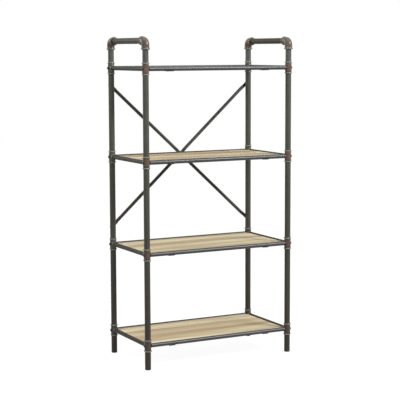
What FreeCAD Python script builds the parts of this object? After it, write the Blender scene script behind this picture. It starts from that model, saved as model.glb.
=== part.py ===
import FreeCAD, Part
import math
import os

# Open bookshelf of round steel tube with four shelf boards.
# Four posts stand on capped feet. On each side two elbows and a top bar join the front
# post and the back post into a loop. At every tier each post carries a sleeve fitting,
# and four rails run between the fittings. A shelf board lies between the four rails, on
# tabs welded under the two long ones. Two crossed braces, pressed flat at their ends and
# where they meet, are bolted behind the back posts.
#
# Every tube is closed at both ends, so the tubes are solid here. The fasteners are small
# and aren't modelled here.
#
# Frame: millimetres, +X to the right, +Y to the back, +Z up. The origin is on the floor,
# under the middle of the object's outer size. Tiers are counted from the floor.

# Layout
post_spacing_x = 750.0        # left post's centre line to the right post's
post_spacing_y = 383.0        # front post's centre line to the back post's
tier_count = 4
lowest_rail_height = 113.0    # floor to the lowest rails' centre lines
tier_pitch = 422.0
bar_above_top_rail = 126.0    # highest rails' centre lines to the top bars'

# Tubes
post_d = 28.0
rail_d = 20.0
brace_d = 16.0

# Fitting: a sleeve round the post
fitting_height = 56.0
fitting_wall = 1.85

# Elbow
elbow_d = 36.0
elbow_arm = 40.0              # corner of the centre lines to each mouth
elbow_bend_r = 22.0
elbow_bend_steps = 3          # straight steps round the bend
collar_d = 42.0
collar_width = 9.0
collar_mouth_d = 38.0

# Foot
foot_height = 9.0
foot_chamfer = 2.5

# Shelf board
board_over_centre = 5.0       # board's top over the rails' centre lines
board_side_gap = 1.0
board_notch = 10.0

# Tab under a long rail
tab_width = 30.0
tab_thickness = 1.5
tab_outer_overhang = 6.0
tab_reach = 34.0
tab_place = 251.0             # object's middle to the tab's middle

# Brace
brace_end_from_rail = 80.0    # rail's centre line to the middle of the brace's nose
brace_axis_behind_post = 19.6
brace_plate_thickness = 2.4
brace_plate_width = 16.0
brace_plate_root_width = 12.0
brace_tab_length = 22.0       # middle of the nose to the end of the flat
brace_press_length = 20.0     # stretch where the tube goes over to its flat
brace_middle_flat = 36.0

# Clearances
slide_gap = 0.15              # post in a fitting, on the radius
seat_gap = 0.1                # a rail's end to its fittings
overrun = 2.0                 # a cutting shape past the face it cuts

# Worked out from the sizes above
post_r = post_d / 2
rail_r = rail_d / 2
brace_r = brace_d / 2
elbow_r = elbow_d / 2
sleeve_bore_r = post_r + slide_gap
sleeve_r = sleeve_bore_r + fitting_wall
rail_inset = sleeve_r + seat_gap
top_rail_height = lowest_rail_height + (tier_count - 1) * tier_pitch
bar_height = top_rail_height + bar_above_top_rail
centre_shift_y = (collar_d / 2 - brace_axis_behind_post - brace_r) / 2
half_x = post_spacing_x / 2
front_y = centre_shift_y - post_spacing_y / 2
back_y = centre_shift_y + post_spacing_y / 2
brace_end_low = lowest_rail_height + tier_pitch + brace_end_from_rail
brace_end_high = top_rail_height - brace_end_from_rail
brace_end_offset = post_r + brace_plate_thickness / 2 - brace_axis_behind_post

X = FreeCAD.Vector(1, 0, 0)
Y = FreeCAD.Vector(0, 1, 0)
Z = FreeCAD.Vector(0, 0, 1)


def at(x, y, z):
    return FreeCAD.Vector(x, y, z)


def rod(radius, length, start, along):
    return Part.makeCylinder(radius, length, start, along)


def turned(outline):
    """Solid turned round the Z axis from an outline of (radius, height) points."""
    points = [at(radius, 0, height) for radius, height in outline]
    face = Part.Face(Part.makePolygon(points + points[:1]))
    return face.revolve(at(0, 0, 0), Z, 360)


def laid_along(shape, along, origin):
    """Turns a shape made along +Z so that it points along another direction."""
    placed = shape.copy()
    placed.Placement = FreeCAD.Placement(origin, FreeCAD.Rotation(Z, along))
    return placed


def sides():
    return (("left", -1), ("right", 1))


def depths():
    """Name, place in Y and inward direction of the front and the back row of posts."""
    return (("front", front_y, 1), ("back", back_y, -1))


def rail_heights():
    return [lowest_rail_height + tier_pitch * index for index in range(tier_count)]


# Posts, feet and fittings

def post(side, y):
    """Upright tube from its foot to the mouth of its elbow."""
    length = bar_height - elbow_arm - foot_height
    return rod(post_r, length, at(side * half_x, y, foot_height), Z)


def foot(side, y):
    """Cap under a post, with a bevelled lower edge."""
    body = rod(post_r, foot_height, at(side * half_x, y, 0), Z)
    lower = [edge for edge in body.Edges if edge.BoundBox.ZMax < foot_height / 2]
    return body.makeChamfer(foot_chamfer, lower)


def fitting(side, y, height):
    """Sleeve round a post, centred on the rails' level."""
    start = at(side * half_x, y, height - fitting_height / 2)
    sleeve = rod(sleeve_r, fitting_height, start, Z)
    return sleeve.cut(rod(sleeve_bore_r, fitting_height, start, Z))


# Elbows and top bars

def collar():
    """Band round the mouth of an elbow's arm, made along +Z from the elbow's corner."""
    start = elbow_arm - collar_width
    return turned([
        (0, start),
        (elbow_r, start),
        (collar_d / 2, elbow_arm - collar_width / 2),
        (collar_mouth_d / 2, elbow_arm),
        (0, elbow_arm),
    ])


def elbow(side, y, inward):
    """Bend with one arm down to the post and one along the top bar, each with a collar."""
    corner = at(side * half_x, y, bar_height)
    centre = corner + at(0, inward * elbow_bend_r, -elbow_bend_r)
    step = math.pi / 2 / elbow_bend_steps
    knee_r = elbow_bend_r / math.cos(step / 2)
    path = [corner - Z * elbow_arm]
    for index in range(elbow_bend_steps):
        turn = step * (index + 1 / 2)
        path.append(centre + at(0, -inward * knee_r * math.cos(turn), knee_r * math.sin(turn)))
    path.append(corner + Y * inward * elbow_arm)
    section = Part.Wire(Part.Circle(path[0], Z, elbow_r).toShape())
    bend = Part.makePolygon(path).makePipeShell([section], True, False, 1)
    collars = [laid_along(collar(), along, corner) for along in (at(0, 0, -1), Y * inward)]
    return bend.fuse(collars).removeSplitter()


def top_bar(side):
    start = at(side * half_x, front_y + elbow_arm, bar_height)
    return rod(post_r, post_spacing_y - 2 * elbow_arm, start, Y)


# Rails, shelf boards and tabs

def side_rail(side, height):
    start = at(side * half_x, front_y + rail_inset, height)
    return rod(rail_r, post_spacing_y - 2 * rail_inset, start, Y)


def long_rail(y, height):
    start = at(rail_inset - half_x, y, height)
    return rod(rail_r, post_spacing_x - 2 * rail_inset, start, X)


def board(height):
    """Board that fills the opening between four rails, notched at its corners."""
    inset = rail_r + board_side_gap
    size_x = post_spacing_x - 2 * inset
    size_y = post_spacing_y - 2 * inset
    thickness = board_over_centre + rail_r
    corner = at(inset - half_x, front_y + inset, height - rail_r)
    notches = []
    for x in (0, size_x - board_notch):
        for y in (0, size_y - board_notch):
            notches.append(Part.makeBox(board_notch, board_notch, thickness, corner + at(x, y, 0)))
    return Part.makeBox(size_x, size_y, thickness, corner).cut(notches)


def tab(x, y, inward, height):
    """Plate welded under a long rail, reaching inwards under the board."""
    depth = tab_outer_overhang + tab_reach
    middle = y + inward * (tab_reach - tab_outer_overhang) / 2
    corner = at(x - tab_width / 2, middle - depth / 2, height - rail_r - tab_thickness)
    return Part.makeBox(tab_width, depth, tab_thickness, corner)


# Braces, made along +X with the middle of the left nose at the origin

def pressed_line(length, middle_offset, face):
    """Points along one face of the pressed tube: -1 is its front and 1 its back."""
    half_plate = face * brace_plate_thickness / 2
    clear = face * (brace_r + overrun)
    flat_start = (length - brace_middle_flat) / 2
    points = [
        (brace_tab_length, brace_end_offset + half_plate),
        (brace_tab_length + brace_press_length, clear),
        (flat_start - brace_press_length, clear),
        (flat_start, middle_offset + half_plate),
    ]
    return points + [(length - distance, offset) for distance, offset in reversed(points)]


def pressed_tube(length, middle_offset):
    """Round tube that narrows to a flat at both ends and in the middle."""
    front = pressed_line(length, middle_offset, -1)
    back = pressed_line(length, middle_offset, 1)
    half_depth = brace_r + overrun
    points = [at(distance, offset, -half_depth) for distance, offset in front + back[::-1]]
    profile = Part.Face(Part.makePolygon(points + points[:1]))
    return rod(brace_r, length, at(0, 0, 0), X).common(profile.extrude(Z * 2 * half_depth))


def end_plate(distance, inward):
    """Flat end with a round nose, its root inside the tube."""
    half_width = brace_plate_width / 2
    half_root = brace_plate_root_width / 2
    y = brace_end_offset - brace_plate_thickness / 2
    shoulder = distance + inward * brace_tab_length
    root = shoulder + inward * brace_press_length / 2
    corners = [
        at(distance, y, half_width),
        at(shoulder, y, half_width),
        at(root, y, half_root),
        at(root, y, -half_root),
        at(shoulder, y, -half_width),
        at(distance, y, -half_width),
    ]
    nose = Part.Arc(corners[-1], at(distance - inward * half_width, y, 0), corners[0])
    outline = Part.Wire([nose.toShape()] + Part.makePolygon(corners).Edges)
    return Part.Face(outline).extrude(Y * brace_plate_thickness)


def middle_plate(middle, offset):
    """Flat where the two braces meet, its roots inside the tube."""
    y = offset - brace_plate_thickness / 2
    half_flat = brace_middle_flat / 2
    half_length = half_flat + brace_press_length / 2
    quarter = [(half_length, brace_plate_root_width / 2), (half_flat, brace_plate_width / 2)]
    upper = quarter + [(-distance, width) for distance, width in reversed(quarter)]
    outline = upper + [(distance, -width) for distance, width in reversed(upper)]
    points = [at(middle + distance, y, width) for distance, width in outline]
    return Part.Face(Part.makePolygon(points + points[:1])).extrude(Y * brace_plate_thickness)


def brace(rise, middle_offset):
    """Brace from the left post's back to the right post's, rising or falling."""
    length = math.hypot(post_spacing_x, rise)
    body = pressed_tube(length, middle_offset).fuse([
        end_plate(0, 1),
        end_plate(length, -1),
        middle_plate(length / 2, middle_offset),
    ]).removeSplitter()
    body.rotate(at(0, 0, 0), Y, -math.degrees(math.atan2(rise, post_spacing_x)))
    start = brace_end_low if rise > 0 else brace_end_high
    body.translate(at(-half_x, back_y + brace_axis_behind_post, start))
    return body


def save(name, solids):
    shape = solids[0] if len(solids) == 1 else Part.makeCompound(solids)
    shape.exportStep(os.path.join("parts", name + ".step"))


def build():
    os.makedirs("parts", exist_ok=True)
    feet = []
    elbows = []
    for side_name, side in sides():
        save("top_bar_" + side_name, [top_bar(side)])
        for depth_name, y, inward in depths():
            place = depth_name + "_" + side_name
            save("post_" + place, [post(side, y)])
            save("fittings_" + place, [fitting(side, y, height) for height in rail_heights()])
            elbows.append(elbow(side, y, inward))
            feet.append(foot(side, y))
    save("elbows", elbows)
    save("feet", feet)

    tabs = []
    for index, height in enumerate(rail_heights()):
        tier = "tier_" + str(index + 1)
        save(tier + "_board", [board(height)])
        for side_name, side in sides():
            save(tier + "_side_rail_" + side_name, [side_rail(side, height)])
        for depth_name, y, inward in depths():
            save(tier + "_long_rail_" + depth_name, [long_rail(y, height)])
            tabs += [tab(side * tab_place, y, inward, height) for _, side in sides()]
    save("board_tabs", tabs)

    rise = brace_end_high - brace_end_low
    save("brace_rising", [brace(rise, -brace_plate_thickness / 2)])
    save("brace_falling", [brace(-rise, brace_plate_thickness / 2)])


build()
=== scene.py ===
import math

import bmesh
import bpy
import numpy as np
from mathutils import Matrix, Vector


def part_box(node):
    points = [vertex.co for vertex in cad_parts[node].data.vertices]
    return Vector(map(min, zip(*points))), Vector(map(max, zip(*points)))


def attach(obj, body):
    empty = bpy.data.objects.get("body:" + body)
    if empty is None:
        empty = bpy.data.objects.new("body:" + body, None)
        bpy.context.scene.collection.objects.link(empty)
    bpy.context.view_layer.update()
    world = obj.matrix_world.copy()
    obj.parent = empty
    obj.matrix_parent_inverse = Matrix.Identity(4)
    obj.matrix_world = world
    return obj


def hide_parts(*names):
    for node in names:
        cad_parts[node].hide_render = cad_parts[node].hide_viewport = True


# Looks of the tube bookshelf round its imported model. Everything is in metres, in the
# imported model's frame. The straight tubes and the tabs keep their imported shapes. The
# fittings, elbows, foot caps, boards and braces are made again in finer form, and the
# bolts, screws and the nut are added.

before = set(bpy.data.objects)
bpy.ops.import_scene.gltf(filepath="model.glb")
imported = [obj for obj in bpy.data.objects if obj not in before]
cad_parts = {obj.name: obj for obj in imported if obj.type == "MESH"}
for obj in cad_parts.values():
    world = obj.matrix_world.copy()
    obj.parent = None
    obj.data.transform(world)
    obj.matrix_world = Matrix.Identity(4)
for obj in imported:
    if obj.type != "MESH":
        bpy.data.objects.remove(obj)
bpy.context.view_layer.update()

MM = 0.001
BODY = "root"
SMOOTH_ANGLE = math.radians(32)
MERGE_DISTANCE = 0.002 * MM
RIGHT = Vector((1, 0, 0))
BACK = Vector((0, 1, 0))
UP = Vector((0, 0, 1))
LAID_BACK = Matrix.Rotation(-math.pi / 2, 4, "X")  # turns a shape's +Z side to +Y


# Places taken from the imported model

def middle(node):
    low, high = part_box(node)
    return (low + high) / 2


PLACES = ("front_left", "front_right", "back_left", "back_right")
posts = {place: middle("post_" + place) for place in PLACES}
tiers = sorted(int(name.split("_")[1]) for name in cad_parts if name.endswith("_board"))
rail_heights = [middle("tier_%d_side_rail_left" % tier).z for tier in tiers]
pitch = rail_heights[1] - rail_heights[0]
bar_height = middle("top_bar_left").z
post_low, post_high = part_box("post_front_left")
post_r = (post_high.x - post_low.x) / 2
foot_top = post_low.z
rail_low, rail_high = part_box("tier_1_long_rail_front")
rail_r = (rail_high.z - rail_low.z) / 2
elbow_arm = bar_height - post_high.z
tab_low, tab_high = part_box("board_tabs")


def inward(place):
    """Direction in Y from a post towards the other post of its side."""
    return 1 if place.startswith("front") else -1


def outward(place):
    """Direction in X from a post away from the shelf."""
    return -1 if place.endswith("left") else 1


# Mesh helpers

def skinned(rings):
    """Vertices and faces between rings of points, with a cap on both ends."""
    count = len(rings[0])
    last = (len(rings) - 1) * count
    faces = []
    for a in range(0, last, count):
        b = a + count
        for k in range(count):
            m = (k + 1) % count
            faces.append((a + k, a + m, b + m, b + k))
    faces.append(tuple(range(count))[::-1])
    faces.append(tuple(range(last, last + count)))
    return np.vstack(rings), faces


# a crossed form has four arms, each this far to both sides, and this share of the radius
# between them
CROSS_ARM_ANGLE = 0.3
CROSS_CORE = 0.42


def form_radius(form, angle):
    """Share of a ring's radius at an angle, for a round, six-sided or crossed form."""
    if form == "hexagon":
        side = math.pi / 3
        return math.cos(side / 2) / math.cos((angle + side / 2) % side - side / 2)
    if form == "cross":
        quarter = math.pi / 2
        from_arm = abs((angle + quarter / 2) % quarter - quarter / 2)
        return 1 if from_arm < CROSS_ARM_ANGLE else CROSS_CORE
    return 1


def turned(outline, segments):
    """Shape turned round the Z axis from (radius, height) or (radius, height, form)."""
    angles = [math.tau * k / segments for k in range(segments)]
    rings = []
    for radius, height, *form in outline:
        reach = [radius * form_radius(form[0] if form else "round", angle) for angle in angles]
        rings.append(np.array([(r * math.cos(a), r * math.sin(a), height)
                               for r, a in zip(reach, angles)]))
    return skinned(rings)


def circle(segments):
    """Cosine and sine of the angles round a circle."""
    angles = [math.tau * k / segments for k in range(segments)]
    return [(math.cos(angle), math.sin(angle)) for angle in angles]


def mesh_of(name, *parts):
    """One mesh from (vertices, faces) parts, closed and with its faces outwards."""
    verts = []
    faces = []
    for part_verts, part_faces in parts:
        start = len(verts)
        verts += [tuple(v) for v in part_verts]
        faces += [tuple(start + index for index in face) for face in part_faces]
    mesh = bpy.data.meshes.new(name)
    mesh.from_pydata(verts, [], faces)
    settle(mesh)
    return mesh


def rod(name, radius, low, high, segments):
    """Mesh of a plain round rod along the Z axis."""
    return mesh_of(name, turned([(0, low), (radius, low), (radius, high), (0, high)], segments))


def settle(mesh):
    """Merges doubles, turns the faces outwards and shades the mesh smooth up to an angle."""
    work = bmesh.new()
    work.from_mesh(mesh)
    bmesh.ops.remove_doubles(work, verts=work.verts, dist=MERGE_DISTANCE)
    bmesh.ops.recalc_face_normals(work, faces=work.faces)
    work.to_mesh(mesh)
    work.free()
    mesh.shade_smooth()
    mesh.set_sharp_from_angle(angle=SMOOTH_ANGLE)


def linked(name, data):
    """Object of this mesh, lamp or camera data in the scene, at the origin."""
    obj = bpy.data.objects.new(name, data)
    bpy.context.scene.collection.objects.link(obj)
    return obj


def evaluated_mesh(obj):
    """Plain mesh of what an object's modifiers make."""
    bpy.context.view_layer.update()
    depsgraph = bpy.context.evaluated_depsgraph_get()
    return bpy.data.meshes.new_from_object(obj.evaluated_get(depsgraph))


def combined(base, tool, operation):
    """Mesh of base joined with or cut by tool. Both are meshes."""
    base_obj = linked("base_shape", base)
    tool_obj = linked("tool_shape", tool)
    modifier = base_obj.modifiers.new("combine", "BOOLEAN")
    modifier.operation = operation
    modifier.solver = "EXACT"
    modifier.object = tool_obj
    result = evaluated_mesh(base_obj)
    for obj in (base_obj, tool_obj):
        bpy.data.objects.remove(obj)
    return result


def bevelled(mesh, width, segments):
    """Mesh with its sharp edges rounded."""
    obj = linked("sharp_shape", mesh)
    modifier = obj.modifiers.new("soften", "BEVEL")
    modifier.width = width
    modifier.segments = segments
    modifier.limit_method = "ANGLE"
    result = evaluated_mesh(obj)
    bpy.data.objects.remove(obj)
    return result


def points_of(mesh):
    """The mesh's vertices as rows of x, y and z."""
    co = np.empty(len(mesh.vertices) * 3, np.float32)
    mesh.vertices.foreach_get("co", co)
    return co.reshape(-1, 3).astype(float)


def set_share(mesh, name, values):
    """Stores a share from 0 to 1 on each vertex: how far the finish is worn, which on the fitting
    beads is also a painted highlight ("wear_and_highlight"), how far it takes dark patina and
    painted shade ("grime_and_shade"), or whether the vertex is on a fitting's band ("band")."""
    attribute = mesh.attributes.new(name, "FLOAT", "POINT")
    attribute.data.foreach_set("value", np.clip(values, 0, 1).astype(np.float32))


def on_post(mesh, place, height):
    """Copy of a mesh at a height on a post, with its +Y side turned inward."""
    turn = 0 if inward(place) > 0 else math.pi
    move = Vector((posts[place].x, posts[place].y, height))
    copy = mesh.copy()
    copy.transform(Matrix.Translation(move) @ Matrix.Rotation(turn, 4, "Z"))
    return copy


def finished(obj, slot_name, *nodes):
    """Makes obj ride on the shelf and stand for these nodes, which it hides. The slot name is not
    used.
    """
    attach(obj, BODY)
    if nodes:
        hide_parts(*nodes)
    return obj


# Node helpers

def link_or_set(tree, socket, value):
    if isinstance(value, bpy.types.NodeSocket):
        tree.links.new(value, socket)
    else:
        socket.default_value = value


def add(tree, kind, inputs=None, **settings):
    """New node with its settings and its inputs, each a value or another node's output."""
    made = tree.nodes.new(kind)
    for name, value in settings.items():
        setattr(made, name, value)
    for name, value in (inputs or {}).items():
        link_or_set(tree, made.inputs[name], value)
    return made


def new_group(name, kind, inputs, outputs):
    """Node group with its named sockets, and the sockets it takes from and leads to."""
    tree = bpy.data.node_groups.new(name, kind)
    for in_out, sockets in (("INPUT", inputs), ("OUTPUT", outputs)):
        for label, socket_type in sockets:
            tree.interface.new_socket(name=label, in_out=in_out, socket_type=socket_type)
    taken = tree.nodes.new("NodeGroupInput").outputs
    led_to = tree.nodes.new("NodeGroupOutput").inputs
    return tree, taken, led_to


def value_of(tree, operation, a, b, clamp=False):
    made = add(tree, "ShaderNodeMath", {0: a, 1: b}, operation=operation, use_clamp=clamp)
    return made.outputs[0]


def weighted(tree, a, weight_a, b, weight_b):
    """Sum of two values, each times its weight."""
    return value_of(tree, "ADD", value_of(tree, "MULTIPLY", a, weight_a),
                    value_of(tree, "MULTIPLY", b, weight_b))


def ranged(tree, value, low, high, to_low=0.0, to_high=1.0):
    """Value led from low and high to to_low and to_high, and held there beyond them."""
    made = add(tree, "ShaderNodeMapRange", {
        "Value": value, "From Min": low, "From Max": high, "To Min": to_low, "To Max": to_high})
    return made.outputs["Result"]


def mixed(tree, share, a, b):
    """Colour a where the share is 0 and b where it is 1."""
    made = add(tree, "ShaderNodeMix", {0: share, 6: a, 7: b}, data_type="RGBA")
    return made.outputs[2]


def noise(tree, vector, scale, detail, roughness=0.5):
    made = add(tree, "ShaderNodeTexNoise", {
        "Vector": vector, "Scale": scale, "Detail": detail, "Roughness": roughness})
    return made.outputs[0]


def scaled(tree, vector, factors):
    made = add(tree, "ShaderNodeVectorMath", {0: vector, 1: factors}, operation="MULTIPLY")
    return made.outputs[0]


def drawn_noise(tree, vector, factors, detail, roughness=0.5):
    """Noise drawn out along the axes with small factors."""
    return noise(tree, scaled(tree, vector, factors), 1.0, detail, roughness)


def linear(red, green, blue):
    """Colour written as 0 to 255 screen values, as the shader needs it."""
    def one(value):
        value = value / 255
        return value / 12.92 if value <= 0.04045 else ((value + 0.055) / 1.055) ** 2.4
    return one(red), one(green), one(blue), 1.0


# Shared shader groups

FINISH = [("Color", "NodeSocketColor"), ("Roughness", "NodeSocketFloat"),
          ("Height", "NodeSocketFloat")]

# heights over the floor at which a tone sets in and at which it is full. The high tone
# sets in at the uppermost rails.
LOW_TONE_HEIGHTS = (1.35, 0.35)
HIGH_TONE_HEIGHTS = (1.375, 1.405)
LOW_TONE_DRIFT = 0.5
STREAK_STRENGTH = 0.14
MOTTLE_ROUGHNESS = 0.35


def patina_group():
    """Antique metal finish: mottled paint, drawn streaks, a browner tone near the floor,
    a bluer one over the top tier, a worn tone where the paint has worn, which on the fitting beads
    is also a painted highlight, and the shade tone where dark patina and painted shade are laid."""
    tree, given, out = new_group("antique_patina", "ShaderNodeTree", [
        ("Vector", "NodeSocketVector"),
        ("Base", "NodeSocketColor"),
        ("Shade", "NodeSocketColor"),
        ("Low Tone", "NodeSocketColor"),
        ("High Tone", "NodeSocketColor"),
        ("Worn And Highlit", "NodeSocketColor"),
        ("Wear And Highlight", "NodeSocketFloat"),
        ("Grime And Shade", "NodeSocketFloat"),
        ("Streaks", "NodeSocketVector"),
        ("Mottle", "NodeSocketFloat"),
        ("Smoothest", "NodeSocketFloat"),
    ], FINISH)
    vector = given["Vector"]
    height = add(tree, "ShaderNodeSeparateXYZ", {0: vector}).outputs[2]
    drift = noise(tree, vector, scale=5.0, detail=2.0)
    drifted = value_of(tree, "ADD", height, value_of(tree, "MULTIPLY", drift, LOW_TONE_DRIFT))
    clouds = noise(tree, vector, scale=42.0, detail=4.0, roughness=0.6)
    clouds = ranged(tree, clouds, 0.36, 0.68)
    speckle = noise(tree, vector, scale=420.0, detail=3.0, roughness=0.7)
    streaks = drawn_noise(tree, vector, given["Streaks"], detail=3.0, roughness=0.6)

    tone = mixed(tree, ranged(tree, drifted, *LOW_TONE_HEIGHTS), given["Base"], given["Low Tone"])
    tone = mixed(tree, ranged(tree, height, *HIGH_TONE_HEIGHTS), tone, given["High Tone"])
    mottled = value_of(tree, "MULTIPLY", clouds, given["Mottle"], clamp=True)
    # the shade tone takes the mottle, and the dark patina and painted shade laid on the fittings
    tone = mixed(tree, value_of(tree, "MAXIMUM", mottled, given["Grime And Shade"]), tone, given["Shade"])
    streaked = ranged(tree, streaks, 0.35, 0.75, 0.0, STREAK_STRENGTH)
    tone = mixed(tree, streaked, tone, given["Worn And Highlit"])
    patchy = ranged(tree, speckle, 0.3, 0.6, 0.35, 1.0)
    # worn paint, which on the fitting beads is also a painted highlight
    worn_and_highlit = value_of(tree, "MULTIPLY", given["Wear And Highlight"], patchy, clamp=True)
    tree.links.new(mixed(tree, worn_and_highlit, tone, given["Worn And Highlit"]), out["Color"])

    spread = value_of(tree, "MULTIPLY", value_of(tree, "SUBTRACT", clouds, worn_and_highlit), given["Mottle"])
    dulled = value_of(tree, "MULTIPLY", spread, MOTTLE_ROUGHNESS)
    tree.links.new(value_of(tree, "ADD", given["Smoothest"], dulled), out["Roughness"])
    tree.links.new(weighted(tree, speckle, 0.6, streaks, 0.4), out["Height"])
    return tree


def oak_group():
    """Light oak laid lengthwise: broad strips in two tones, fine grain, darker flames
    and a few smoky patches. The height of each tier shifts the figure."""
    tree, given, out = new_group("striped_oak", "ShaderNodeTree", [
        ("Vector", "NodeSocketVector"),
        ("Pale", "NodeSocketColor"),
        ("Pink", "NodeSocketColor"),
        ("Dark", "NodeSocketColor"),
    ], FINISH)
    vector = given["Vector"]
    wobble = drawn_noise(tree, vector, (1.6, 6.0, 3.0), detail=2.0)
    sway = add(tree, "ShaderNodeCombineXYZ", {1: ranged(tree, wobble, 0.2, 0.8, -0.012, 0.012)})
    bent = add(tree, "ShaderNodeVectorMath", {0: vector, 1: sway.outputs[0]},
               operation="ADD").outputs[0]
    strips = drawn_noise(tree, bent, (0.5, 13.0, 9.0), detail=1.5, roughness=0.4)
    flames = add(tree, "ShaderNodeTexWave", {
        "Vector": scaled(tree, bent, (1.1, 26.0, 11.0)), "Scale": 1.0, "Distortion": 5.0,
        "Detail": 3.0, "Detail Scale": 1.4}, bands_direction="Y").outputs["Fac"]
    bands = drawn_noise(tree, bent, (1.6, 62.0, 25.0), detail=2.0)
    grain = drawn_noise(tree, bent, (2.4, 240.0, 90.0), detail=5.0, roughness=0.65)
    smoke = drawn_noise(tree, vector, (3.2, 15.0, 5.0), detail=3.0, roughness=0.55)
    pores = drawn_noise(tree, bent, (28.0, 900.0, 300.0), detail=3.0, roughness=0.6)

    tone = mixed(tree, ranged(tree, strips, 0.40, 0.60), given["Pink"], given["Pale"])
    for figure, low, high, strength in ((flames, 0.62, 1.0, 0.30), (bands, 0.50, 0.70, 0.55),
                                        (grain, 0.44, 0.70, 0.52), (smoke, 0.60, 0.78, 0.40)):
        share = ranged(tree, figure, low, high, 0.0, strength)
        tone = mixed(tree, share, tone, given["Dark"])
    tree.links.new(tone, out["Color"])
    tree.links.new(ranged(tree, grain, 0.3, 0.7, 0.62, 0.74), out["Roughness"])
    tree.links.new(weighted(tree, pores, 0.7, grain, 0.5), out["Height"])
    return tree


PATINA = patina_group()
OAK = oak_group()


# Materials

def new_material(name):
    material = bpy.data.materials.new(name)
    material.use_nodes = True
    return material, material.node_tree, material.node_tree.nodes["Principled BSDF"]


def raise_relief(tree, shader, height, strength, depth):
    relief = add(tree, "ShaderNodeBump", {
        "Strength": strength, "Distance": depth, "Height": height})
    tree.links.new(relief.outputs[0], shader.inputs["Normal"])


def dress(tree, shader, group, bump, bump_depth):
    """Leads a group's colour, roughness and relief into the shader."""
    tree.links.new(group.outputs["Color"], shader.inputs["Base Color"])
    tree.links.new(group.outputs["Roughness"], shader.inputs["Roughness"])
    raise_relief(tree, shader, group.outputs["Height"], bump, bump_depth)


def object_position(tree):
    return tree.nodes.new("ShaderNodeTexCoord").outputs["Object"]


METAL_TONES = ("Base", "Shade", "Low Tone", "High Tone", "Worn And Highlit")
METAL_SHARE = 0.15
metal_relief = 0.15 * MM
oak_relief = 0.12 * MM
rubber_relief = 0.1 * MM


def metal(name, tones, streaks, mottle, smoothest, gloss, bump):
    """Antique painted metal. Its tones are base, shade, low, high, and worn and highlit: the
    worn tone, which on the fitting beads is lightened as a painted highlight. Streaks run along the
    tube, across the large factors."""
    material, tree, shader = new_material(name)
    group = add(tree, "ShaderNodeGroup", node_tree=PATINA)
    for label, tone in zip(METAL_TONES, tones):
        group.inputs[label].default_value = linear(*tone)
    for label, value in (("Vector", object_position(tree)), ("Streaks", streaks),
                         ("Mottle", mottle), ("Smoothest", smoothest)):
        link_or_set(tree, group.inputs[label], value)
    # stored shares: worn parts with the painted bead highlight, and dark patina with painted shade
    for label, attribute in (("Wear And Highlight", "wear_and_highlight"), ("Grime And Shade", "grime_and_shade")):
        stored = add(tree, "ShaderNodeAttribute", attribute_name=attribute)
        tree.links.new(stored.outputs["Fac"], group.inputs[label])
    dress(tree, shader, group, bump, metal_relief)
    shader.inputs["Metallic"].default_value = METAL_SHARE
    shader.inputs["Specular IOR Level"].default_value = gloss
    return material


def oak(name, pale, pink, dark, gloss, bump):
    material, tree, shader = new_material(name)
    group = add(tree, "ShaderNodeGroup", {"Vector": object_position(tree)}, node_tree=OAK)
    for label, tone in (("Pale", pale), ("Pink", pink), ("Dark", dark)):
        group.inputs[label].default_value = linear(*tone)
    dress(tree, shader, group, bump, oak_relief)
    shader.inputs["Specular IOR Level"].default_value = gloss
    return material


def rubber(name, tone, dust, bump):
    """Dull black rubber with dust in its grain."""
    material, tree, shader = new_material(name)
    position = object_position(tree)
    grain = noise(tree, position, scale=160.0, detail=4.0, roughness=0.7)
    dusty = mixed(tree, ranged(tree, grain, 0.5, 0.8, 0.0, 0.5), linear(*tone), linear(*dust))
    tree.links.new(dusty, shader.inputs["Base Color"])
    tree.links.new(ranged(tree, grain, 0.3, 0.7, 0.62, 0.82), shader.inputs["Roughness"])
    pores = noise(tree, position, scale=900.0, detail=2.0)
    raise_relief(tree, shader, pores, bump, rubber_relief)
    return material


ALONG_X = (7.0, 300.0, 300.0)
ALONG_Y = (300.0, 7.0, 300.0)
ALONG_Z = (300.0, 300.0, 7.0)
CAST = (120.0, 120.0, 120.0)

post_metal = metal(
    "post_patina", [(78, 81, 72), (50, 49, 42), (58, 52, 43), (82, 88, 85), (104, 106, 97)],
    ALONG_Z, mottle=0.30, smoothest=0.36, gloss=0.20, bump=0.20)
long_rail_metal = metal(
    "long_rail_patina", [(31, 35, 34), (26, 26, 23), (29, 29, 27), (33, 37, 37), (72, 80, 80)],
    ALONG_X, mottle=0.10, smoothest=0.40, gloss=0.72, bump=0.01)
side_rail_metal = metal(
    "side_rail_patina", [(45, 50, 35), (32, 30, 22), (48, 38, 27), (46, 51, 37), (86, 88, 72)],
    ALONG_Y, mottle=0.28, smoothest=0.36, gloss=0.09, bump=0.10)
bar_metal = metal(
    "top_bar_patina", [(55, 54, 39), (39, 35, 26), (55, 54, 39), (55, 54, 39), (92, 86, 70)],
    ALONG_Y, mottle=0.30, smoothest=0.36, gloss=0.09, bump=0.10)
brace_metal = metal(
    "brace_patina", [(74, 74, 70), (50, 45, 39), (70, 68, 64), (74, 74, 70), (98, 96, 90)],
    CAST, mottle=0.35, smoothest=0.36, gloss=0.20, bump=0.20)
copper_metal = metal(
    "rubbed_copper", [(106, 80, 65), (56, 43, 34), (82, 62, 49), (106, 82, 68), (128, 129, 120)],
    CAST, mottle=0.45, smoothest=0.30, gloss=0.25, bump=0.25)
bronze_metal = metal(
    "dark_bronze", [(92, 80, 69), (52, 46, 39), (92, 80, 69), (94, 83, 72), (142, 134, 121)],
    CAST, mottle=0.60, smoothest=0.28, gloss=0.30, bump=0.25)
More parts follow.
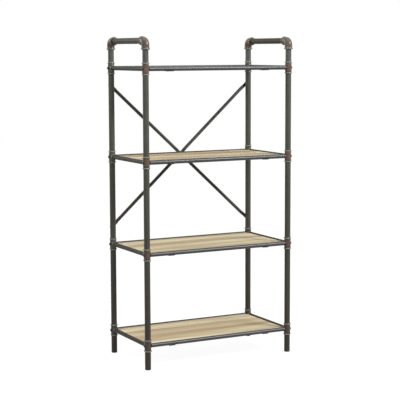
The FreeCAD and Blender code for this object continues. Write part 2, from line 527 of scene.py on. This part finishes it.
# its worn tone is light, so that the worn bead crests also show as a painted highlight
green_fitting_metal = metal(
    "green_fitting", [(74, 76, 67), (46, 44, 37), (60, 54, 46), (76, 78, 70), (146, 147, 137)],
    CAST, mottle=0.40, smoothest=0.30, gloss=0.30, bump=0.25)
bolt_metal = metal(
    "blackened_bolt", [(50, 47, 42), (34, 32, 29), (44, 40, 36), (50, 47, 42), (92, 90, 85)],
    CAST, mottle=0.40, smoothest=0.30, gloss=0.30, bump=0.20)
oak_wood = oak("light_oak", pale=(229, 218, 184), pink=(191, 169, 136), dark=(130, 108, 73),
               gloss=0.22, bump=0.20)
foot_rubber = rubber("black_rubber", tone=(30, 29, 28), dust=(70, 68, 64), bump=0.3)


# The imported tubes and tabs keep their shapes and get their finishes

def dress_node(node, material):
    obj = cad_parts[node]
    obj.data.materials.clear()
    obj.data.materials.append(material)


for place in PLACES:
    dress_node("post_" + place, post_metal)
for side in ("left", "right"):
    dress_node("top_bar_" + side, bar_metal)
    for tier in tiers:
        dress_node("tier_%d_side_rail_%s" % (tier, side), side_rail_metal)
for depth in ("front", "back"):
    for tier in tiers:
        dress_node("tier_%d_long_rail_%s" % (tier, depth), long_rail_metal)
dress_node("board_tabs", brace_metal)


# Fittings: a sleeve with a bead round each end and an outlet that holds the side rail

SLEEVE_SEGMENTS = 64
OUTLET_SEGMENTS = 56
BEAD_STEPS = 10
BEAD_FULLNESS = 0.8  # below 1, for a section fuller than a half circle
sleeve_half = 28.0 * MM
sleeve_r = 15.7 * MM
sleeve_bore_r = post_r + 0.15 * MM
bore_overlap = 1.0 * MM
bead_r = 18.0 * MM
bead_half = 2.8 * MM
bead_height = sleeve_half - bead_half
neck_r = 15.1 * MM
neck_half = 2.0 * MM
neck_height = sleeve_half - 2 * bead_half - 1.2 * MM
band_half = 15.0 * MM
outlet_bore_r = rail_r + 0.1 * MM
outlet_r = outlet_bore_r + 2.3 * MM
outlet_root = 2.0 * MM
outlet_reach = 20.6 * MM
outlet_rim = 0.9 * MM
outlet_chamfer = outlet_rim * 0.3
wear_margin = 0.1 * MM
neck_margin = 0.3 * MM
RIM_RUB = 0.6
# the necks take dark patina together with painted shade, where the beads would shade them
NECK_PATINA_AND_SHADE = 1.6
# painted shade on the left and right sides of each fitting's band, falling off towards its front
# and back
BAND_SIDE_SHADE = 0.9
BAND_SIDE_SHADE_FALL = 1.6
BAND_SIDE_SHADE_SHIFT = 0.05


def bead_outline(middle_height):
    """Rounded bead round the sleeve, from its lower side to its upper side."""
    points = []
    for k in range(BEAD_STEPS + 1):
        turn = math.pi * k / BEAD_STEPS
        points.append((sleeve_r + (bead_r - sleeve_r) * math.sin(turn) ** BEAD_FULLNESS,
                       middle_height - bead_half * math.cos(turn)))
    return points


def sleeve_outline():
    """Half section of a sleeve, from its lower end to its upper end."""
    neck = [(sleeve_r, neck_half), (neck_r, 0.5 * neck_half),
            (neck_r, -0.5 * neck_half), (sleeve_r, -neck_half)]
    outline = [(sleeve_bore_r - bore_overlap, -sleeve_half)]
    outline += bead_outline(-bead_height)
    outline += [(radius, -neck_height - height) for radius, height in neck[1:]]
    outline += [(sleeve_r, height) for height in (-band_half, 0, band_half)]
    outline += [(radius, neck_height + height) for radius, height in neck[:0:-1]]
    outline += bead_outline(bead_height)
    return outline + [(sleeve_bore_r - bore_overlap, sleeve_half)]


def mark_fitting_wear_and_light(mesh):
    """Rubs the beads, which also take a painted highlight, and the outlet's rim, lays dark
    patina with painted shade in the necks, and paints shade on the left and right sides of the
    band."""
    points = points_of(mesh)
    around = np.hypot(points[:, 0], points[:, 1])
    from_middle = np.abs(points[:, 2])
    # the bead crests are worn, and their worn tone also stands in as a painted highlight
    bead_wear_and_highlight = (around - sleeve_r) / (bead_r - sleeve_r) * (from_middle > bead_height - 2 * bead_half)
    rim = (points[:, 1] - outlet_reach + outlet_rim) / outlet_rim * RIM_RUB
    set_share(mesh, "wear_and_highlight", np.maximum(bead_wear_and_highlight, rim))
    band = from_middle < band_half + wear_margin
    set_share(mesh, "band", band)
    # dark patina with painted shade in the necks beside the beads
    in_neck = 1 - np.abs(from_middle - neck_height) / neck_half
    neck_patina_and_shade = in_neck * NECK_PATINA_AND_SHADE * (around < sleeve_r + neck_margin)
    # painted shade on the left and right sides of the band
    from_side = np.abs(points[:, 1] / sleeve_r + BAND_SIDE_SHADE_SHIFT)
    band_side_shade = (BAND_SIDE_SHADE - from_side * BAND_SIDE_SHADE_FALL) * band
    set_share(mesh, "grime_and_shade", np.maximum(neck_patina_and_shade, band_side_shade))


def fitting_mesh():
    sleeve = mesh_of("sleeve", turned(sleeve_outline(), SLEEVE_SEGMENTS))
    outlet = mesh_of("outlet", turned([
        (0, outlet_root), (outlet_r, outlet_root), (outlet_r, outlet_reach - outlet_rim),
        (outlet_r - outlet_chamfer, outlet_reach - outlet_chamfer),
        (outlet_r - outlet_rim, outlet_reach), (0, outlet_reach)], OUTLET_SEGMENTS))
    bore = rod("bore", sleeve_bore_r, -sleeve_half * 2, sleeve_half * 2, SLEEVE_SEGMENTS)
    socket = rod("socket", outlet_bore_r, sleeve_bore_r, outlet_reach * 2, OUTLET_SEGMENTS)
    for laid in (outlet, socket):
        laid.transform(LAID_BACK)
    joined = combined(sleeve, outlet, "UNION")
    cut = combined(combined(joined, bore, "DIFFERENCE"), socket, "DIFFERENCE")
    settle(cut)
    mark_fitting_wear_and_light(cut)
    return cut


def tier_copies_tree():
    """Copies its mesh up a post, one copy at each tier, with its band in a second finish."""
    tree, given, out = new_group("copies_at_tiers", "GeometryNodeTree", [
        ("Geometry", "NodeSocketGeometry"),
        ("Tiers", "NodeSocketInt"),
        ("Pitch", "NodeSocketFloat"),
        ("Material", "NodeSocketMaterial"),
        ("Band Material", "NodeSocketMaterial"),
    ], [("Geometry", "NodeSocketGeometry")])
    step = add(tree, "ShaderNodeCombineXYZ", {2: given["Pitch"]})
    line = add(tree, "GeometryNodeMeshLine", {
        "Count": given["Tiers"], "Offset": step.outputs[0]})
    copies = add(tree, "GeometryNodeInstanceOnPoints", {
        "Points": line.outputs[0], "Instance": given["Geometry"]})
    real = add(tree, "GeometryNodeRealizeInstances", {0: copies.outputs[0]})
    painted = add(tree, "GeometryNodeSetMaterial", {
        "Geometry": real.outputs[0], "Material": given["Material"]})
    band = add(tree, "GeometryNodeInputNamedAttribute", {"Name": "band"}, data_type="FLOAT")
    inside = add(tree, "FunctionNodeCompare", {0: band.outputs[0], 1: 0.99},
                 data_type="FLOAT", operation="GREATER_THAN")
    banded = add(tree, "GeometryNodeSetMaterial", {
        "Geometry": painted.outputs[0], "Selection": inside.outputs[0],
        "Material": given["Band Material"]})
    tree.links.new(banded.outputs[0], out[0])
    return tree


def grown(name, mesh, tree, values):
    """Object whose plain mesh is what a geometry tree makes of the given mesh."""
    obj = linked(name, mesh)
    modifier = obj.modifiers.new("grow", "NODES")
    modifier.node_group = tree
    for label, value in values.items():
        modifier[tree.interface.items_tree[label].identifier] = value
    result = evaluated_mesh(obj)
    obj.modifiers.clear()
    obj.data = result
    return obj


fitting = fitting_mesh()
at_tiers = tier_copies_tree()
for place in PLACES:
    band_finish = copper_metal if inward(place) > 0 else green_fitting_metal
    lowest = on_post(fitting, place, rail_heights[0])
    sleeves = grown("beaded_fittings_" + place, lowest, at_tiers, {
        "Tiers": len(tiers), "Pitch": pitch, "Material": green_fitting_metal,
        "Band Material": band_finish})
    finished(sleeves, "fitting_bronze", "fittings_" + place)


# Elbows: a round bend with a rounded collar at each mouth

ELBOW_SEGMENTS = 56
ELBOW_STEPS = 18
elbow_r = 18.0 * MM
elbow_swell = 0.7 * MM
elbow_bend_r = 22.0 * MM
elbow_straight = elbow_arm - elbow_bend_r
elbow_quarter = elbow_bend_r * math.pi / 2
mouth_gap_r = 15.2 * MM
mouth_gap_depth = 1.2 * MM
mouth_gap_floor_r = mouth_gap_r - 1 * MM
mouth_lip_r = mouth_gap_r + 0.2 * MM
# distance from the mouth and radius, from the seat round the post outwards
COLLAR = [(distance * MM, radius * MM) for distance, radius in (
    (0.0, 18.2), (0.3, 19.0), (1.2, 19.9), (2.4, 20.6), (3.8, 20.9), (5.2, 20.8),
    (6.6, 20.2), (7.8, 19.2), (8.6, 18.4), (9.6, 18.0))]
COLLAR_CREST = COLLAR[4][0]


def elbow_station(distance):
    """Point and direction on the elbow's centre line, from the lower mouth's middle."""
    if distance <= elbow_straight:
        return Vector((0, 0, distance - elbow_arm)), UP
    if distance <= elbow_straight + elbow_quarter:
        turn = (distance - elbow_straight) / elbow_bend_r
        return (Vector((0, elbow_bend_r * (1 - math.cos(turn)),
                        elbow_bend_r * (math.sin(turn) - 1))),
                Vector((0, math.sin(turn), math.cos(turn))))
    return Vector((0, elbow_bend_r + distance - elbow_straight - elbow_quarter, 0)), BACK


def elbow_part():
    length = 2 * elbow_straight + elbow_quarter
    mouth = [(mouth_gap_depth, 0.0), (mouth_gap_depth, mouth_gap_floor_r),
             (mouth_gap_depth, mouth_gap_r), (0.0, mouth_lip_r)] + COLLAR
    start = COLLAR[-1][0]
    body = []
    for k in range(1, ELBOW_STEPS):
        share = k / ELBOW_STEPS
        body.append((start + (length - 2 * start) * share,
                     elbow_r + elbow_swell * math.sin(math.pi * share) ** 2))
    stations = mouth + body + [(length - distance, radius) for distance, radius in mouth[::-1]]
    rings = []
    for distance, radius in stations:
        centre, along = elbow_station(distance)
        across = along.cross(RIGHT)
        rings.append(np.array([centre + radius * (RIGHT * c + across * s)
                               for c, s in circle(ELBOW_SEGMENTS)]))
    return skinned(rings)


def elbows_piece():
    base = mesh_of("elbow", elbow_part())
    _, y, z = points_of(base).T
    from_lower = np.where(y > elbow_bend_r, np.inf, np.abs(z + elbow_arm))
    from_upper = np.where(z < -elbow_bend_r, np.inf, np.abs(y - elbow_arm))
    from_mouth = np.minimum(from_lower, from_upper)
    set_share(base, "wear_and_highlight", 1 - np.abs(from_mouth - COLLAR_CREST) / COLLAR_CREST)
    work = bmesh.new()
    for place in PLACES:
        work.from_mesh(on_post(base, place, bar_height))
    mesh = bpy.data.meshes.new("elbows_mesh")
    work.to_mesh(mesh)
    work.free()
    mesh.materials.append(bronze_metal)
    return linked("collared_elbows", mesh)


finished(elbows_piece(), "fitting_bronze", "elbows")


# Foot caps, with a rounded lower edge and a shallow ring underneath

# radius and height in millimetres, of a cap of 14 mm radius and 9 mm height
FOOT_OUTLINE_R = 14
FOOT_OUTLINE_HEIGHT = 9
FOOT_OUTLINE = [(0, 0.6), (7.5, 0.6), (8.2, 0), (11.2, 0), (12.6, 0.4), (13.5, 1.3),
                (14, 2.8), (14, 8.1), (13.7, 8.7), (13.2, 9), (0, 9)]
FOOT_SEGMENTS = 48


def feet_piece():
    share = foot_top / (FOOT_OUTLINE_HEIGHT * MM)
    outline = [(radius * post_r / FOOT_OUTLINE_R, height * MM * share)
               for radius, height in FOOT_OUTLINE]
    verts, faces = turned(outline, FOOT_SEGMENTS)
    feet = [(verts + np.array([post.x, post.y, 0]), faces) for post in posts.values()]
    mesh = mesh_of("feet_mesh", *feet)
    mesh.materials.append(foot_rubber)
    return linked("rounded_foot_caps", mesh)


finished(feet_piece(), "foot_caps", "feet")


# Shelf boards, with softened edges and notched corners

board_notch = 10.0 * MM
board_edge = 0.9 * MM
BOARD_EDGE_SEGMENTS = 2


def board_piece(tier):
    node = "tier_%d_board" % tier
    low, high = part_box(node)
    quarter = [(high.x - board_notch, low.y), (high.x - board_notch, low.y + board_notch),
               (high.x, low.y + board_notch)]
    corners = quarter + [(x, low.y + high.y - y) for x, y in reversed(quarter)]
    corners += [(low.x + high.x - x, y) for x, y in reversed(corners)]
    rings = [np.array([(x, y, z) for x, y in corners]) for z in (low.z, high.z)]
    mesh = bevelled(mesh_of(node + "_mesh", skinned(rings)), board_edge, BOARD_EDGE_SEGMENTS)
    mesh.materials.append(oak_wood)
    return finished(linked("oak_board_%d" % tier, mesh), "shelf_wood", node)


for tier in tiers:
    board_piece(tier)


# Braces: round tube pressed flat at both ends and in the middle

BRACE_SEGMENTS = 40
NOSE_STEPS = 9
PRESS_STEPS = 12
NOSE_TIP = 0.999  # share of the nose that is kept, so that its tip isn't a point
brace_r = 8.0 * MM
plate_half_thickness = 1.2 * MM
plate_half_width = 8.0 * MM
brace_tab = 22.0 * MM
brace_press = 22.0 * MM
middle_flat_half = 18.0 * MM
brace_low, brace_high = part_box("brace_rising")
brace_y = brace_high.y - brace_r
brace_bottom = brace_low.z + plate_half_width
brace_top = brace_high.z - plate_half_width
left_x, right_x = posts["back_left"].x, posts["back_right"].x
end_offset = posts["back_left"].y + post_r + plate_half_thickness - brace_y


def eased(value):
    """Smooth step from 0 to 1."""
    value = min(1.0, max(0.0, value))
    return value * value * (3 - 2 * value)


def brace_section(distance, length, middle_offset):
    """Half width, half thickness, offset and flatness of the tube, at a distance from the
    bolt at its left end."""
    from_end = min(distance, length - distance)
    from_middle = abs(distance - length / 2)
    end_flat = 1 - eased((from_end - brace_tab) / brace_press)
    middle_flat = 1 - eased((from_middle - middle_flat_half) / brace_press)
    flat = max(end_flat, middle_flat)
    offset = end_flat * end_offset + middle_flat * middle_offset
    width = brace_r + (plate_half_width - brace_r) * flat
    thickness = brace_r + (plate_half_thickness - brace_r) * flat
    if from_end < 0:
        width = math.sqrt(max(0.0, plate_half_width ** 2 - from_end ** 2))
    return width, thickness, offset, flat


def brace_stations(length):
    """Distances of a brace's sections from the bolt at its left end."""
    nose = [-plate_half_width * math.cos(math.pi / 2 * k / NOSE_STEPS) for k in range(NOSE_STEPS)]
    nose[0] = -plate_half_width * NOSE_TIP
    press = [brace_press * k / PRESS_STEPS for k in range(PRESS_STEPS + 1)]
    end_press = [brace_tab + distance for distance in press]
    middle_press = [length / 2 - middle_flat_half - distance for distance in reversed(press)]
    half = nose + [0.0, brace_tab / 2] + end_press + [length / 4] + middle_press + [length / 2]
    return half + [length - distance for distance in reversed(half[:-1])]


def brace_piece(node, left_z, right_z, middle_offset):
    start = Vector((left_x, brace_y, left_z))
    along = Vector((right_x, brace_y, right_z)) - start
    length = along.length
    along.normalize()
    across = BACK.cross(along)
    rings = []
    for distance in brace_stations(length):
        width, thickness, offset, flat = brace_section(distance, length, middle_offset)
        power = 2 / (2 + 4 * flat)  # 1 for a round section, 1/3 for a plate with round edges
        centre = start + along * distance + BACK * offset
        rings.append(np.array([
            centre + across * width * math.copysign(abs(c) ** power, c)
            + BACK * thickness * math.copysign(abs(s) ** power, s)
            for c, s in circle(BRACE_SEGMENTS)]))
    name = "pressed_" + node
    mesh = mesh_of(name + "_mesh", skinned(rings))
    mesh.materials.append(brace_metal)
    return finished(linked(name, mesh), "rail_tube", node)


brace_piece("brace_rising", brace_bottom, brace_top, -plate_half_thickness)
brace_piece("brace_falling", brace_top, brace_bottom, plate_half_thickness)


# Bolts, screws and the nut

FASTENER_SEGMENTS = 24
FASTENER_RUB_FROM = 0.55  # share of a fastener's height
FASTENER_RUB_GAIN = 1.2


def fastener_tree():
    """Sets a fastener on every point, along the point's facing, turned by chance."""
    tree, given, out = new_group("fasteners_on_points", "GeometryNodeTree", [
        ("Geometry", "NodeSocketGeometry"),
        ("Fastener", "NodeSocketObject"),
        ("Turn Seed", "NodeSocketInt"),
        ("Material", "NodeSocketMaterial"),
    ], [("Geometry", "NodeSocketGeometry")])
    facing = add(tree, "GeometryNodeInputNamedAttribute", {"Name": "facing"},
                 data_type="FLOAT_VECTOR")
    aligned = add(tree, "FunctionNodeAlignRotationToVector", {"Vector": facing.outputs[0]},
                  axis="Z")
    chance = add(tree, "FunctionNodeRandomValue", {
        2: 0.0, 3: math.tau, "Seed": given["Turn Seed"]}, data_type="FLOAT")
    turn = add(tree, "ShaderNodeCombineXYZ", {2: chance.outputs[1]})
    spin = add(tree, "FunctionNodeEulerToRotation", {0: turn.outputs[0]})
    rotation = add(tree, "FunctionNodeRotateRotation", {
        0: aligned.outputs[0], 1: spin.outputs[0]}, rotation_space="LOCAL")
    shape = add(tree, "GeometryNodeObjectInfo", {"Object": given["Fastener"]})
    copies = add(tree, "GeometryNodeInstanceOnPoints", {
        "Points": given["Geometry"], "Instance": shape.outputs["Geometry"],
        "Rotation": rotation.outputs[0]})
    real = add(tree, "GeometryNodeRealizeInstances", {0: copies.outputs[0]})
    painted = add(tree, "GeometryNodeSetMaterial", {
        "Geometry": real.outputs[0], "Material": given["Material"]})
    tree.links.new(painted.outputs[0], out[0])
    return tree


on_points = fastener_tree()


def fasteners(name, outline, spots, seed):
    """Piece with a turned fastener at each spot, a point and the direction it faces. The
    outline is in millimetres."""
    shape = mesh_of(name + "_shape", turned(
        [(r * MM, z * MM, *form) for r, z, *form in outline], FASTENER_SEGMENTS))
    top = max(height for _, height, *_ in outline) * MM
    up_share = points_of(shape)[:, 2] / top
    set_share(shape, "wear_and_highlight", (up_share - FASTENER_RUB_FROM) * FASTENER_RUB_GAIN)
    maker = linked(name + "_maker", shape)
    marks = bpy.data.meshes.new(name + "_marks")
    marks.from_pydata([tuple(point) for point, _ in spots], [], [])
    facing = marks.attributes.new("facing", "FLOAT_VECTOR", "POINT")
    directions = [tuple(direction) for _, direction in spots]
    facing.data.foreach_set("vector", np.array(directions, np.float32).ravel())
    obj = grown(name, marks, on_points, {
        "Fastener": maker, "Turn Seed": seed, "Material": bolt_metal})
    bpy.data.objects.remove(maker)
    return finished(obj, "fitting_bronze")


RAIL_BOLT = [(0, -0.6), (7.0, -0.6), (7.0, 0.4), (6.7, 0.8), (6.3, 0.9), (6.1, 2.2), (5.5, 3.4),
             (4.6, 4.1), (3.4, 4.4), (3.3, 4.4, "hexagon"), (3.1, 4.0, "hexagon"),
             (3.0, 1.6, "hexagon"), (0, 1.3)]
BRACE_BOLT = [(0, -0.2), (8.0, -0.2), (8.0, 1.0), (7.7, 1.3), (7.4, 1.3), (7.5, 1.35, "hexagon"),
              (7.5, 6.2, "hexagon"), (6.5, 6.8), (5.6, 7.0), (5.4, 8.2), (4.8, 9.4), (3.6, 10.3),
              (1.9, 10.8), (0, 10.9)]
NUT = [(0, -0.2), (6.4, -0.2), (6.4, 0.9), (5.8, 1.0, "hexagon"), (5.8, 5.0, "hexagon"),
       (5.0, 5.5), (3.1, 5.5), (3.0, 6.6), (2.5, 7.0), (0, 7.0)]
BOARD_SCREW = [(0, -0.3), (4.6, -0.3), (4.5, 0.3), (4.0, 0.8), (3.0, 1.1), (2.3, 1.2),
               (2.2, 1.2, "cross"), (2.0, 0.7, "cross"), (0, 0.5)]

bolt_spots = []
for place, post in posts.items():
    direction = RIGHT * outward(place)
    for height in rail_heights:
        bolt_spots.append((Vector((post.x, post.y, height)) + direction * sleeve_r, direction))
fasteners("rail_bolts", RAIL_BOLT, bolt_spots, seed=11)

plate_back = brace_y + end_offset + plate_half_thickness
brace_spots = [(Vector((x, plate_back, z)), BACK)
               for x in (left_x, right_x) for z in (brace_bottom, brace_top)]
crossing = Vector(((left_x + right_x) / 2, brace_y, (brace_bottom + brace_top) / 2))
both_plates = BACK * 2 * plate_half_thickness
fasteners("brace_bolts", BRACE_BOLT, brace_spots, seed=5)
fasteners("crossing_bolt", RAIL_BOLT, [(crossing + both_plates, BACK)], seed=9)
fasteners("brace_nut", NUT, [(crossing - both_plates, -BACK)], seed=7)

tab_half_length = 15 * MM
tab_side_x = (tab_high.x - tab_low.x) / 2 - tab_half_length
tab_middle_x = (tab_high.x + tab_low.x) / 2
tab_drop = rail_heights[0] - tab_low.z
screw_inward = 26 * MM
screw_spots = []
for place in ("front_left", "back_left"):
    y = posts[place].y + inward(place) * screw_inward
    for side in (-1, 1):
        x = tab_middle_x + side * tab_side_x
        screw_spots += [(Vector((x, y, height - tab_drop)), -UP) for height in rail_heights]
fasteners("board_screws", BOARD_SCREW, screw_spots, seed=23)


# Floor, background, lamps and camera

WHITE = (1, 1, 1, 1)
FLOOR_HALF = 14.0
FLOOR_GREY = 0.12
FLOOR_GLOW = 0.95
WORLD_LIGHT = 0.42
LAMP_TARGET = Vector((0, 0, 0.8))
IMAGE_WIDTH = 400


def background_rays(tree):
    """1 for rays that show the background: to the camera, in gloss and through glass."""
    path = tree.nodes.new("ShaderNodeLightPath").outputs
    total = value_of(tree, "ADD", path["Is Camera Ray"], path["Is Glossy Ray"], clamp=True)
    return value_of(tree, "ADD", total, path["Is Transmission Ray"], clamp=True)


def floor_piece():
    corners = [(x * FLOOR_HALF, y * FLOOR_HALF, 0) for x, y in ((-1, -1), (1, -1), (1, 1), (-1, 1))]
    mesh = bpy.data.meshes.new("floor_mesh")
    mesh.from_pydata(corners, [], [(0, 1, 2, 3)])
    material, tree, shader = new_material("pale_floor")
    shader.inputs["Base Color"].default_value = (FLOOR_GREY, FLOOR_GREY, FLOOR_GREY, 1)
    shader.inputs["Roughness"].default_value = 0.9
    shader.inputs["Specular IOR Level"].default_value = 0.0
    shader.inputs["Emission Color"].default_value = WHITE
    glow = value_of(tree, "MULTIPLY", background_rays(tree), FLOOR_GLOW)
    tree.links.new(glow, shader.inputs["Emission Strength"])
    mesh.materials.append(material)
    floor = linked("studio_floor", mesh)


def backdrop():
    """World that lights softly and looks white."""
    world = bpy.data.worlds.new("studio")
    world.use_nodes = True
    tree = world.node_tree
    background = tree.nodes["Background"]
    background.inputs["Color"].default_value = WHITE
    strength = ranged(tree, background_rays(tree), 0.0, 1.0, WORLD_LIGHT, 1.0)
    tree.links.new(strength, background.inputs["Strength"])
    bpy.context.scene.world = world


def softbox(name, place, width, height, power):
    """Rectangular lamp in watts that faces the shelf."""
    light = bpy.data.lights.new(name, "AREA")
    light.shape = "RECTANGLE"
    light.size = width
    light.size_y = height
    light.energy = power
    lamp = linked(name, light)
    lamp.location = place
    lamp.rotation_euler = (LAMP_TARGET - Vector(place)).to_track_quat("-Z", "Y").to_euler()


floor_piece()
backdrop()
softbox("front_right_softbox", (2.6, -4.0, 4.0), width=1.8, height=0.8, power=290)
softbox("overhead_softbox", (-0.2, -0.6, 4.6), width=3.0, height=1.8, power=55)
softbox("front_strip", (-2.3, -4.9, 2.4), width=0.3, height=2.2, power=27)
softbox("back_fill", (-3.3, 3.4, 2.8), width=2.4, height=1.6, power=90)
softbox("left_fill", (-3.4, -1.8, 1.8), width=1.2, height=1.8, power=14)

# the camera, fitted to the photograph
camera_place = Vector((-2.7740, -5.2866, 1.4603))
camera_azimuth = math.radians(-27.691)
camera_elevation = math.radians(6.823)
camera_roll = math.radians(-0.191)
focal_pixels = 1249.1
camera_data = bpy.data.cameras.new("studio_camera")
camera = linked("studio_camera", camera_data)
camera_data.sensor_width = 36.0
camera_data.lens = focal_pixels / IMAGE_WIDTH * camera_data.sensor_width
camera_data.clip_end = 100.0
to_camera = Vector((math.sin(camera_azimuth) * math.cos(camera_elevation),
                    -math.cos(camera_azimuth) * math.cos(camera_elevation),
                    math.sin(camera_elevation)))
level_right = Vector((math.cos(camera_azimuth), math.sin(camera_azimuth), 0))
level_up = to_camera.cross(level_right)
camera_right = level_right * math.cos(camera_roll) + level_up * math.sin(camera_roll)
camera_up = level_up * math.cos(camera_roll) - level_right * math.sin(camera_roll)
camera_turn = Matrix((camera_right, camera_up, to_camera)).transposed().to_4x4()
camera.matrix_world = Matrix.Translation(camera_place) @ camera_turn
bpy.context.scene.camera = camera

bpy.context.scene.view_settings.view_transform = "Standard"
